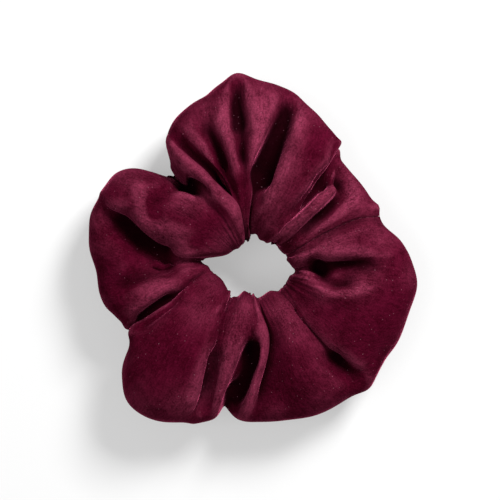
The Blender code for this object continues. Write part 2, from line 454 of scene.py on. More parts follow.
RIM_NUDGES = (
    Nudge(14, -2.2, 5),
    Nudge(24, 1.4, 2.5),
    Nudge(51.5, 2.6, 2.2),
    Nudge(60, -2.0, 6),
    Nudge(84, -0.8, 5),
    Nudge(93, 1.0, 4),
    Nudge(102, -1.4, 5),
    Nudge(115, -0.8, 5),
    Nudge(127.2, -6.0, 2.8),
    Nudge(138, 0.6, 4),
    Nudge(151, -1.0, 5),
    Nudge(163, 0.8, 5),
    Nudge(182, -2.2, 7),
    Nudge(205, -1.2, 3),
    Nudge(214, -4.4, 5),
    Nudge(222, -2.2, 5),
    Nudge(253, 0.9, 3),
    Nudge(262, -1.2, 3),
    Nudge(286, -0.7, 7),
    Nudge(314.5, 1.4, 4),
    Nudge(326, -1.0, 5),
    Nudge(354, 1.5, 7),
)

HOLE_NUDGES = (
    Nudge(46, -1.0, 6),
    Nudge(38, 1.2, 6),
    Nudge(74, 1.2, 6),
    Nudge(89, -0.9, 5),
    Nudge(238, -1.4, 4),
    Nudge(252, 2.2, 7),
    Nudge(284, -1.6, 4),
    Nudge(300, 1.0, 14),
    Nudge(351, 1.6, 4),
)


@dataclass
class VelvetTube:
    """The velvet cover, laid out as cloth round the ring axis.

    Attributes:
        axis: Where the ring axis stands.
        rows: Steps round one section of the tube.
        cell: How long one step of the cloth is round the ring, in metres.
        middle_height: Height of the elastic above the table.
        top: Height of an average crest above the elastic.
        bottom: How far the soft underside would hang below the elastic.
        wall: Thickness of the cloth, pile and all.
        seam_turn: Where the long seam lies on a section, in turns.
        seam_radius: Distance of the long seam from the ring axis.
        draw: How far the elastic draws the hole's edge in.
        near_hole: Share of the top, from the hole, that moves with the hole's edge.
        measured_turn: Where on a section a column's width is measured, in turns.
        flatness: Power of the section's curve. It is below 1 for a fuller section.
        plump: Smoothing steps before the grooves are worked in.
        worn: Smoothing steps after them.
        broad: Smoothing steps that a whole gather stands out from.
        fine: Smoothing steps that only an edge stands out from.
        tucks: How deep the steps of the closing seam's raw edges lie, deepest first.
        allowance: How high the steps of the long seam's raw edges stand, highest first.
        gap: Half of the gap between two raw edges.
        rest_curve: How soon the underside curves up from where it rests.
        face: The cloth's outer face, as columns by rows by 3, before its edges are turned in.
    """

    axis: Vector
    rows: int = 96
    cell: float = 1.0 * MM
    middle_height: float = 15.0 * MM
    top: float = 17.0 * MM
    bottom: float = 17.0 * MM
    wall: float = 1.5 * MM
    seam_turn: float = 0.785
    seam_radius: float = 28.0 * MM
    draw: float = 1.0 * MM
    near_hole: float = 0.25
    measured_turn: float = 0.36
    flatness: float = 0.86
    plump: int = 8
    worn: int = 7
    broad: int = 50
    fine: int = 9
    tucks: tuple[float, ...] = (3.2 * MM, 1.9 * MM, 0.8 * MM)
    allowance: tuple[float, ...] = (6.0 * MM, 4.8 * MM, 3.6 * MM, 2.2 * MM, 1.0 * MM, 0.0)
    gap: float = 0.06 * MM
    rest_curve: float = 1.5 * MM
    face: np.ndarray = field(default_factory=lambda: np.zeros((0, 0, 3)), init=False)

    def turns(self) -> np.ndarray:
        """Where each row lies on a section, in turns. The first is on the long seam."""
        return (self.seam_turn + np.arange(self.rows) / self.rows) % 1.0

    def hole_edge(self, angle: np.ndarray) -> np.ndarray:
        """Distance of the hole's edge from the ring axis, at angles in degrees."""
        degrees = np.array([a for a, _ in HOLE_EDGE], float)
        radii = np.array([r for _, r in HOLE_EDGE], float) * MM
        degrees = np.concatenate([degrees - 360, degrees, degrees + 360])
        radii = np.tile(radii, 3)
        place = np.searchsorted(degrees, angle) - 1
        t = (angle - degrees[place]) / (degrees[place + 1] - degrees[place])
        return radii[place] + (radii[place + 1] - radii[place]) * eased(t)

    def on_section(
        self, angle: np.ndarray, turn: np.ndarray, rim: float, lift: np.ndarray
    ) -> tuple[np.ndarray, np.ndarray, np.ndarray]:
        """Points on a plain round section of the tube, or lifted off it.

        Args:
            angle: Degrees round the ring, one for each row.
            turn: Turns round the section, one for each row.
            rim: Distance of the section's outer edge from the ring axis.
            lift: How far each point stands out from the section.

        Returns:
            Points, outward directions and directions round the ring, one row of each.
        """
        along = -np.cos(2 * math.pi * turn)
        up = np.sin(2 * math.pi * turn)
        hole = self.hole_edge(angle)
        middle, half = (hole + rim) / 2, (rim - hole) / 2
        height = np.where(up > 0, self.top, self.bottom)
        out_r, out_z = along / half, up / height
        size = np.hypot(out_r, out_z)
        out_r, out_z = out_r / size, out_z / size
        radius = middle + half * along + lift * out_r
        z = self.middle_height + height * np.sign(up) * np.abs(up) ** self.flatness + lift * out_z
        turned = np.radians(angle)
        cos, sin = np.cos(turned), np.sin(turned)
        points = np.stack([radius * cos, radius * sin, z], 1)
        outward = np.stack([out_r * cos, out_r * sin, out_z], 1)
        onward = np.stack([-sin, cos, np.zeros_like(sin)], 1)
        return points, outward, onward

    def read(self, values: tuple[float, ...], turn: np.ndarray) -> np.ndarray:
        """A gather's or crease's values, given across the top, carried on underneath."""
        share = (1 - np.cos(2 * math.pi * turn)) / 2
        over = through(values, share)
        under = values[0] + (values[-1] - values[0]) * share
        return np.where(np.sin(2 * math.pi * turn) >= 0, over, under)

    def side(
        self, crest: Gather, crease: Crease, rim: float, turn: np.ndarray, ahead: int, shift: float
    ) -> tuple[np.ndarray, np.ndarray, np.ndarray, np.ndarray]:
        """The four handles of one side of a gather, from its crest to a crease, in every row.

        Args:
            crest: The gather.
            crease: The crease on that side.
            rim: Distance of the crease's plain section from the ring axis.
            turn: Turns round the section, one for each row.
            ahead: 1 if the crease is after the crest, and -1 if it is before it.
            shift: Degrees to add to the crease, 0 or a whole turn.

        Returns:
            Crest, crest's handle, crease's handle and crease.
        """
        depth = self.read(crease.depth, turn) * MM
        rise = self.read(crest.rise, turn) * MM
        top_share = np.clip(np.sin(2 * math.pi * turn), 0.0, 1.0) ** 0.5
        lap = self.read(crease.lap, turn) * MM * top_share * ahead
        top, _, top_on = self.on_section(
            self.read(crest.angle, turn), turn, crest.rim * MM, rise
        )
        low, low_out, low_on = self.on_section(
            self.read(crease.angle, turn) + shift, turn, rim, -depth
        )
        width = np.linalg.norm((low - top) * [1, 1, 0], axis=1)
        # A handle reaches sideways by a share of the width, and up by a share of the drop. Where
        # the gather laps over its neighbour it overhangs the crease, and where it is covered its
        # cloth runs in under the other.
        drop = np.maximum(depth + rise, 0.5 * MM)
        over, under = np.maximum(lap, 0), np.maximum(-lap, 0)
        lapped = eased(over / MM)
        covered = eased(under / MM)
        reach = (over + 0.16 * width) / 0.60
        soft = crease.soft + (1 - crease.soft) * eased(1 - drop / (4 * MM)) * 0.7
        near = 0.57 - 0.10 * soft - 0.12 * covered
        crest_arm = near * width * (1 - lapped) + 0.62 * (width + reach) * lapped
        plain_side = -(0.05 + 0.35 * soft) * width
        crease_side = plain_side * (1 - lapped) + reach * lapped
        crease_side = crease_side * (1 - covered) - 1.3 * under * covered
        plain_up = 0.40 * (1 - soft) * drop
        crease_up = plain_up * (1 - lapped) + 0.35 * drop * lapped
        crease_up = crease_up * (1 - covered) + 0.06 * drop * covered
        first = top + top_on * (crest_arm * ahead)[:, None]
        second = low + low_on * (crease_side * ahead)[:, None] + low_out * crease_up[:, None]
        return top, first, second, low

    def swept(self, handles: tuple[np.ndarray, ...], t: np.ndarray) -> np.ndarray:
        """Points of every row's curve at each t, as rows by t by 3."""
        a, b, c, d = (h[:, None, :] for h in handles)
        t = t[None, :, None]
        return a * (1 - t) ** 3 + b * 3 * t * (1 - t) ** 2 + c * 3 * t * t * (1 - t) + d * t**3

    def laid_out(self) -> np.ndarray:
        """The cloth as its gathers lay it out, before anything is worked into it.

        Returns:
            Points as columns round the ring by rows round the section by 3.
        """
        turn = self.turns()
        measured = int(np.argmin(np.abs(turn - self.measured_turn)))
        strips = []
        for i, gather in enumerate(GATHERS):
            before = GATHERS[i - 1]
            after = GATHERS[(i + 1) % len(GATHERS)]
            back = -360.0 if i == 0 else 0.0
            rim_before = (before.rim + gather.rim) / 2 * MM
            rim_after = (after.rim + gather.rim) / 2 * MM
            for crease, rim, ahead, shift in (
                (before.after, rim_before, -1, back),
                (gather.after, rim_after, 1, 0.0),
            ):
                handles = self.side(gather, crease, rim, turn, ahead, shift)
                fine = np.linspace(0, 1, 41)
                walked = self.swept(tuple(h[measured : measured + 1] for h in handles), fine)[0]
                steps = np.linalg.norm(np.diff(walked, axis=0), axis=1)
                length = np.concatenate([[0], np.cumsum(steps)])
                count = max(5, round(length[-1] / self.cell))
                t = np.interp(np.linspace(0, length[-1], count + 1), length, fine)
                strip = self.swept(handles, t)
                strips.append(strip[:, :0:-1] if ahead < 0 else strip[:, :-1])
        return np.concatenate(strips, axis=1).transpose(1, 0, 2)

    def grooved(self, grid: np.ndarray) -> np.ndarray:
        """The grid with the local hollows pressed into its top side."""
        outward = grid_normals(self.rounded(grid, 40))
        facing = np.clip(outward[..., 2] * 2, 0, 1)
        moved = np.zeros(grid.shape[:2])
        for groove in GROOVES:
            line = np.array(groove.line) * MM - np.array(self.axis)[:2]
            side = distance_to_line(grid[..., :2], line)
            width = np.where(side > 0, groove.left, groove.right) * MM
            moved -= groove.depth * MM * np.exp(-((side / width) ** 2)) * facing
        return grid + outward * moved[..., None]

    def puckers(self, angle: np.ndarray, share: np.ndarray) -> np.ndarray:
        """How far the little puckers that the elastic makes stand out, in metres.

        Args:
            angle: Degrees round the ring, at each point.
            share: 0 at the hole and 1 well out towards the rim, at each point.

        Returns:
            One value for each point, negative where the cloth goes in.
        """
        # Two waves that wander against each other, so that no two puckers are alike.
        walked = np.arange(len(angle))[:, None] * self.cell
        wander = 2.2 * np.sin(walked / (7.3 * MM)) + 3.0 * share
        pucker = np.sin(walked / (1.9 * MM) + wander) + 0.6 * np.sin(walked / (1.0 * MM) - wander)
        pucker = pucker * (0.75 + 0.25 * np.sin(walked / (5.2 * MM)))
        # On top they lie beside the hole, and most of all on its right, where the cloth is loose.
        loose = 0.30 + 0.70 * np.exp(-((((angle - 8 + 180) % 360 - 180) / 48) ** 2))
        top = 0.50 * pucker * eased(1 - share / 0.40) * (0.2 + 0.8 * eased(share / 0.10)) * loose
        # Underneath they go inwards only, and reach nearly to the rim.
        below = 1.40 * (pucker - 1.0) * eased(1.25 - share)
        under = eased(-np.sin(2 * math.pi * self.turns()) * 2)[None, :]
        return (top * (1 - under) + below * under) * MM

    def nudged(self, grid: np.ndarray) -> np.ndarray:
        """The grid with the outline's small shifts, and with its puckers."""
        angle = np.degrees(np.arctan2(grid[..., 1], grid[..., 0]))
        radius = np.hypot(grid[..., 0], grid[..., 1])
        hole = self.hole_edge(angle)
        share = np.clip((radius - hole) / (45 * MM), 0, 1)
        moved = np.zeros(grid.shape[:2])
        for nudges, weight in (
            (RIM_NUDGES, eased((share - 0.45) / 0.4)),
            (HOLE_NUDGES, eased(1 - share / self.near_hole)),
        ):
            for nudge in nudges:
                apart = (angle - nudge.angle + 180) % 360 - 180
                moved += nudge.outward * MM * np.exp(-((apart / nudge.width) ** 2)) * weight
        moved -= self.draw * eased(1 - share / self.near_hole)
        out = grid[..., :2] / radius[..., None]
        grid = grid.copy()
        grid[..., :2] += out * moved[..., None]
        return grid + grid_normals(grid) * self.puckers(angle, share)[..., None]

    def swell(self, grid: np.ndarray, reach: int) -> np.ndarray:
        """How far each point stands out from its surroundings, in millimetres.

        Args:
            grid: The cloth's outer face.
            reach: How wide the surroundings are, as a number of smoothing steps.

        Returns:
            One value for each point, negative in a hollow.
        """
        smooth = grid
        for _ in range(reach):
            beside = (np.roll(smooth, 1, 0) + np.roll(smooth, -1, 0)) / 2
            above = (np.roll(smooth, 1, 1) + np.roll(smooth, -1, 1)) / 2
            smooth = smooth + 0.5 * (beside - smooth) + 0.1 * (above - smooth)
        return np.einsum("ijk,ijk->ij", grid - smooth, grid_normals(smooth)) / MM

    def stroked(self, grid: np.ndarray) -> np.ndarray:
        """Painted light on the top side at each point, where the pile is also brushed lighter,
        from 0 to about 1.
        """
        place = (grid + np.array(self.axis)) / MM
        light = np.zeros(grid.shape[:2])
        for stroke in BRUSHED_AND_LIT_SPOTS:
            apart = np.hypot(place[..., 0] - stroke.x, place[..., 1] - stroke.y)
            light += stroke.light * np.exp(-((apart / stroke.reach) ** 2))
        return light * eased(grid_normals(grid)[..., 2] * 2)

    def rounded(self, grid: np.ndarray, times: int) -> np.ndarray:
        """The grid with its sharp places eased, as thick pile eases them."""
        for _ in range(times):
            beside = (np.roll(grid, 1, 0) + np.roll(grid, -1, 0)) / 2
            above = (np.roll(grid, 1, 1) + np.roll(grid, -1, 1)) / 2
            grid = grid + 0.30 * (beside - grid) + 0.12 * (above - grid)
        return grid

    def seam_led(self, grid: np.ndarray) -> np.ndarray:
        """The grid with its underside slid across, so the long seam keeps to its circle."""
        turn = self.turns()
        under = (turn > 0.5)[None, :]
        radius = np.hypot(grid[..., 0], grid[..., 1])
        hole = radius[:, [int(np.argmin(np.minimum(turn, 1 - turn)))]]
        rim = radius[:, [int(np.argmin(np.abs(turn - 0.5)))]]
        seam = radius[:, :1]
        inner = hole + (self.seam_radius - hole) * (radius - hole) / (seam - hole)
        outer = rim + (self.seam_radius - rim) * (radius - rim) / (seam - rim)
        wanted = np.where(radius < seam, inner, outer)
        wanted = np.where(under & (radius > hole) & (radius < rim), wanted, radius)
        grid = grid.copy()
        grid[..., :2] *= (wanted / radius)[..., None]
        return grid

    def sewn(self, grid: np.ndarray) -> np.ndarray:
        """The grid opened along both seams, as the strip it is, with its raw edges turned in."""
        normal = grid_normals(grid)
        ahead = grid[1] - grid[-1]
        ahead -= normal[0] * np.einsum("ij,ij->i", ahead, normal[0])[:, None]
        ahead /= np.linalg.norm(ahead, axis=1, keepdims=True)
        aside = ahead * self.gap
        tucks = [grid[0] - normal[0] * depth for depth in self.tucks]
        start = [*(tuck + aside for tuck in tucks), grid[0] + aside]
        end = [grid[0] - aside, *(tuck - aside for tuck in reversed(tucks))]
        strip = np.concatenate([np.stack(start), grid[1:], np.stack(end)])
        foot = strip[:, 0]
        out = foot * [1, 1, 0]
        out /= np.linalg.norm(out, axis=1, keepdims=True)
        up = np.array([0.0, 0.0, 1.0])
        inner = [foot + up * rise - out * self.gap for rise in self.allowance]
        outer = [foot + up * rise + out * self.gap for rise in reversed(self.allowance)]
        return np.concatenate(
            [np.stack(inner, 1), strip[:, 1:], np.stack(outer, 1)], axis=1
        )

    def build(self) -> bpy.types.Object:
        """The finished tube, with its wall, and with the measures that its painted highlight,
        painted shade and painted light are read from kept as attributes.
        """
        grid = self.rounded(self.laid_out(), self.plump)
        grid = self.rounded(self.grooved(grid), self.worn)
        grid = self.seam_led(self.nudged(grid))
        # The underside flattens softly where it rests.
        height = grid[..., 2]
        grid[..., 2] = (height + np.sqrt(height**2 + self.rest_curve**2)) / 2
        grid[..., 2] -= grid[..., 2].min()
        self.face = grid + np.array(self.axis)
        strip = self.sewn(grid)
        # How far each point stands out, broadly and at its edges, and the spots of painted light:
        # the measures that the material paints highlight, shade and light from.
        light_and_shade_measures = {
            "swell": self.swell(grid, self.broad),
            "edge": self.swell(grid, self.fine),
            "stroked": self.stroked(grid),
        }
        strip = strip + np.array(self.axis)
        count, rows = strip.shape[:2]
        faces = [
            (
                i * rows + j,
                i * rows + j + 1,
                (i + 1) * rows + j + 1,
                (i + 1) * rows + j,
            )
            for i in range(count - 1)
            for j in range(rows - 1)
        ]
        tube = mesh_object("velvet_tube", strip.reshape(-1, 3), faces)
        mesh = tube.data
        mesh.shade_smooth()
        step = np.linalg.norm(np.diff(grid, axis=1), axis=2).mean()
        corner = np.array([(0, 0), (0, 1), (1, 1), (1, 0)], float)
        start = np.stack(np.meshgrid(range(count - 1), range(rows - 1), indexing="ij"), -1)
        places = (start[:, :, None, :] + corner) * (self.cell, step)
        mesh.uv_layers.new(name="cloth").data.foreach_set("uv", places.ravel())
        tucks, allowance = len(self.tucks), len(self.allowance)
        added = ((tucks, tucks + 1), (allowance - 1, allowance))
        for name, values in light_and_shade_measures.items():
            values = np.pad(values, added, mode="edge").ravel()
            mesh.attributes.new(name, "FLOAT", "POINT").data.foreach_set("value", values)
        wall = tube.modifiers.new("wall", "SOLIDIFY")
        wall.thickness = self.wall
        wall.offset = -1.0
        thick = tube.evaluated_get(bpy.context.evaluated_depsgraph_get())
        tube.data = bpy.data.meshes.new_from_object(thick)
        tube.modifiers.clear()
        bpy.data.meshes.remove(mesh)
        for vertex in tube.data.vertices:
            vertex.co.z = max(0.0, vertex.co.z)
        log.info("velvet tube: %d columns, %d rows", count, rows)
        return tube


def grid_normals(grid: np.ndarray) -> np.ndarray:
    """Outward directions of a closed grid of points."""
    along = np.roll(grid, -1, 0) - np.roll(grid, 1, 0)
    across = np.roll(grid, -1, 1) - np.roll(grid, 1, 1)
    normal = np.cross(across, along)
    return normal / np.maximum(np.linalg.norm(normal, axis=2, keepdims=True), 1e-12)


def distance_to_line(points: np.ndarray, line: np.ndarray) -> np.ndarray:
    """Distance in plan from each point to a line of straight pieces.

    Args:
        points: x and y of each point, last.
        line: One row of x and y for each corner of the line.

    Returns:
        The distances, negative on the right of the line.
    """
    nearest = np.full(points.shape[:-1], np.inf)
    for start, end in zip(line[:-1], line[1:]):
        piece = end - start
        away = points - start
        share = np.clip((away @ piece) / (piece @ piece), 0, 1)
        distance = np.linalg.norm(away - share[..., None] * piece, axis=-1)
        side = np.where(piece[0] * away[..., 1] - piece[1] * away[..., 0] < 0, -1.0, 1.0)
        nearest = np.where(distance < np.abs(nearest), distance * side, nearest)
    return nearest


def along_line(points: np.ndarray, step: float) -> tuple[np.ndarray, np.ndarray]:
    """Points at an even step along a line.

    Args:
        points: The line's corners, one row each.
        step: The step, in metres.

    Returns:
        How far along each new point is, and the new points.
    """
    length = np.concatenate([[0], np.cumsum(np.linalg.norm(np.diff(points, axis=0), axis=1))])
    walked = np.linspace(0, length[-1], max(2, round(length[-1] / step)) + 1)
    return walked, np.stack([np.interp(walked, length, points[:, k]) for k in range(3)], 1)


def swept_tube(
    name: str, path: np.ndarray, radius: float, sides: int = 7
) -> bpy.types.Object:
    """A round thread along a path, with closed ends.

    Args:
        name: The object's name.
        path: The points of its middle line.
        radius: Its radius, in metres.
        sides: How many flats it has round it.

    Returns:
        The thread, with a twist's length and girth as its UV map.
    """
    tangent = np.gradient(path, axis=0)
    tangent /= np.linalg.norm(tangent, axis=1, keepdims=True)
    across = np.cross(tangent, [0.0, 0.0, 1.0])
    thin = np.linalg.norm(across, axis=1) < 0.2
    across[thin] = np.cross(tangent[thin], [1.0, 0.0, 0.0])
    for i in range(1, len(across)):
        across[i] *= 1.0 if across[i] @ across[i - 1] >= 0 else -1.0
    across /= np.linalg.norm(across, axis=1, keepdims=True)
    upright = np.cross(across, tangent)
    turn = np.arange(sides) / sides * 2 * math.pi
    rings = (
        path[:, None]
        + across[:, None] * (np.cos(turn) * radius)[None, :, None]
        + upright[:, None] * (np.sin(turn) * radius)[None, :, None]
    )
    return lofted(name, rings)


def lofted(name: str, rings: np.ndarray) -> bpy.types.Object:
    """A solid through closed rings of points, with a face across each end.

    Args:
        name: The object's name.
        rings: Rings by points by 3.

    Returns:
        The solid. Its UV map is metres along it and round it.
    """
    count, sides = rings.shape[:2]
    faces = [
        (
            i * sides + j,
            (i + 1) * sides + j,
            (i + 1) * sides + (j + 1) % sides,
            i * sides + (j + 1) % sides,
        )
        for i in range(count - 1)
        for j in range(sides)
    ]
    faces.append(tuple(range(sides)))
    faces.append(tuple((count - 1) * sides + j for j in reversed(range(sides))))
    made = mesh_object(name, rings.reshape(-1, 3), faces)
    made.data.shade_smooth()
    middle = rings.mean(1)
    walked = np.concatenate([[0], np.cumsum(np.linalg.norm(np.diff(middle, axis=0), axis=1))])
    edges = np.linalg.norm(np.roll(rings[0], -1, 0) - rings[0], axis=1)
    girth = np.concatenate([[0], np.cumsum(edges)])
    places = [
        place
        for i in range(count - 1)
        for j in range(sides)
        for place in (
            (walked[i], girth[j]),
            (walked[i + 1], girth[j]),
            (walked[i + 1], girth[j + 1]),
            (walked[i], girth[j + 1]),
        )
    ]
    places += [(0.0, girth[j]) for j in range(sides)] * 2
    made.data.uv_layers.new(name="run").data.foreach_set("uv", np.array(places).ravel())
    return made


class Thread(Enum):
    """One of the two threads of a machine stitch, with the side of the cloth it lies on."""

    NEEDLE = 1
    BOBBIN = -1

    def called(self, before: str, after: str) -> str:
        """A piece's name, with the thread's own name in the middle."""
        return f"{before}_{self.name.lower()}_{after}"


@dataclass
class CoverStitches:
    """The four threads of the cover's two seams.

    Attributes:
        tube: The sewn tube.
        radius: Radius of a thread.
        long_pitch: Length of a stitch of the long seam.
        closing_pitch: Length of a stitch of the closing seam.
        points_a_stitch: Steps of the thread's line in a stitch.
        long_height: How high above the cloth's face the long seam's stitches run.
    """

    tube: VelvetTube
    radius: float = 0.2 * MM
    long_pitch: float = 2.5 * MM
    closing_pitch: float = 3.0 * MM
    points_a_stitch: int = 10
    long_height: float = 3.6 * MM

    def long_seam(self, thread: Thread) -> bpy.types.Object:
        """A thread through the turned-in raw edges of the long seam, on one side of them."""
        foot = self.tube.face[3:-3, 0]
        walked, line = along_line(foot, self.long_pitch / self.points_a_stitch)
        out = (line - np.array(self.tube.axis)) * [1, 1, 0]
        out /= np.linalg.norm(out, axis=1, keepdims=True)
        bow = np.abs(np.sin(walked * math.pi / self.long_pitch)) ** 0.4
        aside = thread.value * (0.25 * MM + (self.tube.wall + 0.15 * MM) * bow)
        line = line + out * aside[:, None] + [0.0, 0.0, self.long_height]
        return swept_tube(thread.called("long_seam", "stitches"), line, self.radius)

    def closing_seam(self, thread: Thread) -> bpy.types.Object:
        """A thread down in the crease of the closing seam, on the top side or underneath."""
        turn = self.tube.turns()
        across = turn if thread is Thread.NEEDLE else 1 - turn
        rows = np.nonzero((across > 0.09) & (across < 0.42))[0]
        rows = rows[np.argsort(across[rows])]
        normal = grid_normals(self.tube.face)[0, rows]
        step = self.closing_pitch / self.points_a_stitch
        walked, line = along_line(self.tube.face[0, rows], step)
        _, lifts = along_line(self.tube.face[0, rows] + normal * MM, step)
        count = min(len(line), len(lifts))
        line, lifts, walked = line[:count], lifts[:count] - line[:count], walked[:count]
        lifts /= np.linalg.norm(lifts, axis=1, keepdims=True)
        bow = np.abs(np.sin(walked * math.pi / self.closing_pitch)) ** 0.4
        line = line + lifts * (-1.5 * MM + 1.15 * MM * bow)[:, None]
        line[:, 2] = np.maximum(line[:, 2], self.radius)
        return swept_tube(thread.called("closing_seam", "stitches"), line, self.radius)

    def build(self) -> list[bpy.types.Object]:
        """All four threads, two of each seam."""
        return [seam(thread) for seam in (self.long_seam, self.closing_seam) for thread in Thread]


@dataclass
class ElasticLoop:
    """The braided elastic, lapped over itself and joined with a zigzag stitch.

    Attributes:
        axis: Where the ring axis stands.
        radius: Middle of the band from the ring axis.
        height: Height of the band's middle above the table.
        width: Width of the band, which stands on edge.
        thickness: Thickness of the band over its cords.
        lap: Length over which its ends lie on each other.
        ramp: Length over which the outer end steps out.
        cords: How many cords lie side by side.
        plait: Length of one plait of the braid.
        thread: Radius of the stitch's threads.
    """

    axis: Vector
    radius: float = 21.5 * MM
    height: float = 15.0 * MM
    width: float = 6.0 * MM
    thickness: float = 1.2 * MM
    lap: float = 12.0 * MM
    ramp: float = 9.0 * MM
    cords: int = 8
    plait: float = 1.7 * MM
    thread: float = 0.2 * MM

    def place(self, run: np.ndarray, rise: np.ndarray, out: np.ndarray) -> np.ndarray:
        """Points that far along the band, above its middle line and out from its middle."""
        step_out = eased(1 - (2 * math.pi * self.radius - run) / self.ramp)
        radius = self.radius + (self.thickness + 0.3 * MM) * step_out + out
        angle = run / self.radius
        points = np.stack(
            np.broadcast_arrays(
                radius * np.cos(angle), radius * np.sin(angle), self.height + rise
            ),
            -1,
        )
        return points + np.array(self.axis)

    def band(self) -> bpy.types.Object:
        """The braided band, its cords swelling in turn as they cross."""
        length = 2 * math.pi * self.radius + self.lap
        run = np.linspace(0, length, round(length / (0.34 * MM)) + 1)[:, None]
        per_cord = 5
        cord = np.linspace(0, self.cords, self.cords * per_cord + 1)
        rise = (cord / self.cords - 0.5) * self.width
        round_cord = np.sqrt(np.clip(np.abs(np.sin(cord * math.pi)), 0.02, 1))
        which = np.clip(cord.astype(int), 0, self.cords - 1)
        wave = np.sin(2 * math.pi * (run / self.plait + 0.5 * which[None, :]))
        half = self.thickness / 2
        outer = half * (0.62 + 0.30 * round_cord[None, :] * (1 + 0.26 * wave))
        inner = -half * (0.62 + 0.30 * round_cord[None, :] * (1 - 0.26 * wave))
        face = self.place(run, rise[None, :], outer)
        back = self.place(run, rise[None, :], inner)
        rings = np.concatenate([face, back[:, ::-1]], axis=1)
        return lofted("braided_elastic", rings[:, ::-1])

    def zigzag(self, thread: Thread) -> bpy.types.Object:
        """A thread of the zigzag stitch, on one face of the lap."""
        start = 2 * math.pi * self.radius if thread is Thread.NEEDLE else 0.0
        pitch, reach, samples = 1.2 * MM, 2.0 * MM, 8
        strokes = int(self.lap * 0.8 / pitch)
        margin = (self.lap - strokes * pitch) / 2
        stroke = np.linspace(0, strokes, strokes * samples + 1)
        run = start + margin + stroke * pitch
        sway = 1 - 2 * np.abs(stroke % 2 - 1)
        bow = np.abs(np.sin(stroke * math.pi)) ** 0.45
        out = thread.value * (self.thickness / 2 - 0.25 * MM + 0.5 * MM * bow)
        line = self.place(run, -sway * reach, out)
        return swept_tube(thread.called("elastic", "zigzag"), line, self.thread)

    def build(self) -> list[bpy.types.Object]:
        """The band, and the needle's and the bobbin's thread."""
        return [self.band(), *(self.zigzag(thread) for thread in Thread)]


@dataclass(frozen=True)
class Signal:
    """A number that varies over a surface: a socket that takes part in Python sums."""

    nodes: Nodes
    socket: bpy.types.NodeSocket

    def _with(self, operation: str, first: Signal | float, second: Signal | float) -> Signal:
        """The sum of two signals or numbers by a Math node."""
        made = self.nodes.add(
            "ShaderNodeMath", {"operation": operation}, {0: first, 1: second}
        )
        return Signal(self.nodes, made.outputs[0])

    def __add__(self, other: Signal | float) -> Signal:
        """Sum."""
        return self._with("ADD", self, other)

    __radd__ = __add__

    def __sub__(self, other: Signal | float) -> Signal:
        """Difference."""
        return self._with("SUBTRACT", self, other)

    def __rsub__(self, other: Signal | float) -> Signal:
        """Difference from a number."""
        return self._with("SUBTRACT", other, self)

    def __mul__(self, other: Signal | float) -> Signal:
        """Product."""
        return self._with("MULTIPLY", self, other)

    __rmul__ = __mul__

    def between(self, low: float, high: float) -> Signal:
        """0 where the signal is at low, 1 where it is at high, and eased between them."""
        made = self.nodes.add(
            "ShaderNodeMapRange",
            {"interpolation_type": "SMOOTHSTEP"},
            {"Value": self, "From Min": low, "From Max": high},
        )
        return Signal(self.nodes, made.outputs["Result"])


class Nodes:
    """A material's nodes, made one at a time."""

    def __init__(self, name: str) -> None:
        """Starts a new material with a Principled shader."""
        self.material = bpy.data.materials.new(name)
        self.material.use_nodes = True
        self.tree = self.material.node_tree
        self.shader = self.tree.nodes["Principled BSDF"]

    def add(self, kind: str, settings: dict[str, object], inputs: dict) -> bpy.types.Node:
        """Adds a node.

        Args:
            kind: The node's type.
            settings: Its properties, which are set first.
            inputs: Its sockets, by name or number, with a value, a signal or a socket for each.

        Returns:
            The node.
        """
        node = self.tree.nodes.new(kind)
        for key, value in settings.items():
            setattr(node, key, value)
        for key, value in inputs.items():
            self.feed(node.inputs[key], value)
        return node

    def feed(self, socket: bpy.types.NodeSocket, value: object) -> None:
        """Gives a socket a value, or links it to a signal or another socket."""
        if isinstance(value, Signal):
            self.tree.links.new(value.socket, socket)
        elif isinstance(value, bpy.types.NodeSocket):
            self.tree.links.new(value, socket)
        else:
            socket.default_value = value

    def placed(self, source: str, scale: tuple[float, float, float]) -> bpy.types.NodeSocket:
        """Texture coordinates, Object or UV, multiplied by a scale."""
        place = self.add("ShaderNodeTexCoord", {}, {})
        made = self.add(
            "ShaderNodeMapping", {}, {"Vector": place.outputs[source], "Scale": scale}
        )
        return made.outputs["Vector"]

    def noise(
        self, place: bpy.types.NodeSocket, scale: float, detail: float = 2.0, twist: float = 0.0
    ) -> Signal:
        """Soft noise, around a half."""
        made = self.add(
            "ShaderNodeTexNoise",
            {"noise_dimensions": "3D"},
            {"Vector": place, "Scale": scale, "Detail": detail, "Distortion": twist},
        )
        return Signal(self, made.outputs["Fac"])

    def attribute(self, name: str) -> Signal:
        """A value kept on the mesh."""
        made = self.add("ShaderNodeAttribute", {"attribute_name": name}, {})
        return Signal(self, made.outputs["Fac"])

    def blend(self, share: Signal, first: object, second: object) -> bpy.types.NodeSocket:
        """A colour between two colours."""
        made = self.add(
            "ShaderNodeMix",
            {"data_type": "RGBA"},
            {"Factor": share, 6: first, 7: second},
        )
        return made.outputs[2]

    def bump(self, height: Signal, distance: float) -> None:
        """Raises the surface by a height, in metres at a height of 1."""
        made = self.add("ShaderNodeBump", {}, {"Height": height, "Distance": distance})
        self.feed(self.shader.inputs["Normal"], made.outputs["Normal"])


def colour(red: float, green: float, blue: float) -> Colour:
    """An opaque colour."""
    return (red, green, blue, 1.0)


